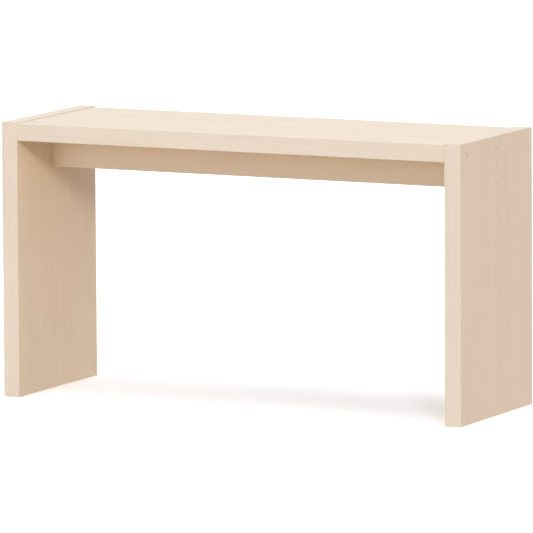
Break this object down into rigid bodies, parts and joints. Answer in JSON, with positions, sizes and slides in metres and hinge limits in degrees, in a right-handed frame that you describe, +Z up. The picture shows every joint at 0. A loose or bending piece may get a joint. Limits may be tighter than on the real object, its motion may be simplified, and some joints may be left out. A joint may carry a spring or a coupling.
{
  "type": "communion table",
  "caption": "Slab-ended communion table: a thick wooden top set just inside two thick upright ends, with a deep rail under its middle.",
  "frame": {"origin": "on the floor under the middle of the table", "axes": "+X along the table to the right, +Y to the back, +Z up; the front is the side seen in the picture"},
  "size_m": [1.35, 0.45, 0.7415],
  "materials": {
    "faced_board": "pale straight-grained maple faces on a particle core, matt to satin lacquer",
    "edge_band": "matching pale maple edge band with small rounded corners, satin",
    "bolt_steel": "zinc-plated steel, satin",
    "nut_steel": "zinc-plated steel, satin",
    "cover_cap": "pale wood-coloured plastic, matt",
    "dowel_beech": "bare fluted beech",
    "glide_plastic": "off-white moulded plastic, satin"
  },
  "bodies": {
    "root": {"glide_left_back": "glide_plastic", "glide_left_front": "glide_plastic", "glide_right_back": "glide_plastic", "glide_right_front": "glide_plastic", "rail_board": "faced_board", "rail_dowel_left": "dowel_beech", "rail_dowel_right": "dowel_beech", "rail_edge_bottom": "edge_band", "rail_lower_bolt_left": "bolt_steel", "rail_lower_bolt_right": "bolt_steel", "rail_lower_cap_left": "cover_cap", "rail_lower_cap_right": "cover_cap", "rail_lower_nut_left": "nut_steel", "rail_lower_nut_right": "nut_steel", "rail_top_dowel_centre": "dowel_beech", "rail_top_dowel_left": "dowel_beech", "rail_top_dowel_right": "dowel_beech", "rail_upper_bolt_left": "bolt_steel", "rail_upper_bolt_right": "bolt_steel", "rail_upper_cap_left": "cover_cap", "rail_upper_cap_right": "cover_cap", "rail_upper_nut_left": "nut_steel", "rail_upper_nut_right": "nut_steel", "side_left_board": "faced_board", "side_left_edge_back": "edge_band", "side_left_edge_bottom": "edge_band", "side_left_edge_front": "edge_band", "side_left_edge_top": "edge_band", "side_right_board": "faced_board", "side_right_edge_back": "edge_band", "side_right_edge_bottom": "edge_band", "side_right_edge_front": "edge_band", "side_right_edge_top": "edge_band", "top_back_bolt_left": "bolt_steel", "top_back_bolt_right": "bolt_steel", "top_back_cap_left": "cover_cap", "top_back_cap_right": "cover_cap", "top_back_dowel_left": "dowel_beech", "top_back_dowel_right": "dowel_beech", "top_back_nut_left": "nut_steel", "top_back_nut_right": "nut_steel", "top_board": "faced_board", "top_edge_back": "edge_band", "top_edge_front": "edge_band", "top_front_bolt_left": "bolt_steel", "top_front_bolt_right": "bolt_steel", "top_front_cap_left": "cover_cap", "top_front_cap_right": "cover_cap", "top_front_dowel_left": "dowel_beech", "top_front_dowel_right": "dowel_beech", "top_front_nut_left": "nut_steel", "top_front_nut_right": "nut_steel", "top_middle_bolt_left": "bolt_steel", "top_middle_bolt_right": "bolt_steel", "top_middle_cap_left": "cover_cap", "top_middle_cap_right": "cover_cap", "top_middle_nut_left": "nut_steel", "top_middle_nut_right": "nut_steel"}
  },
  "joints": []
}
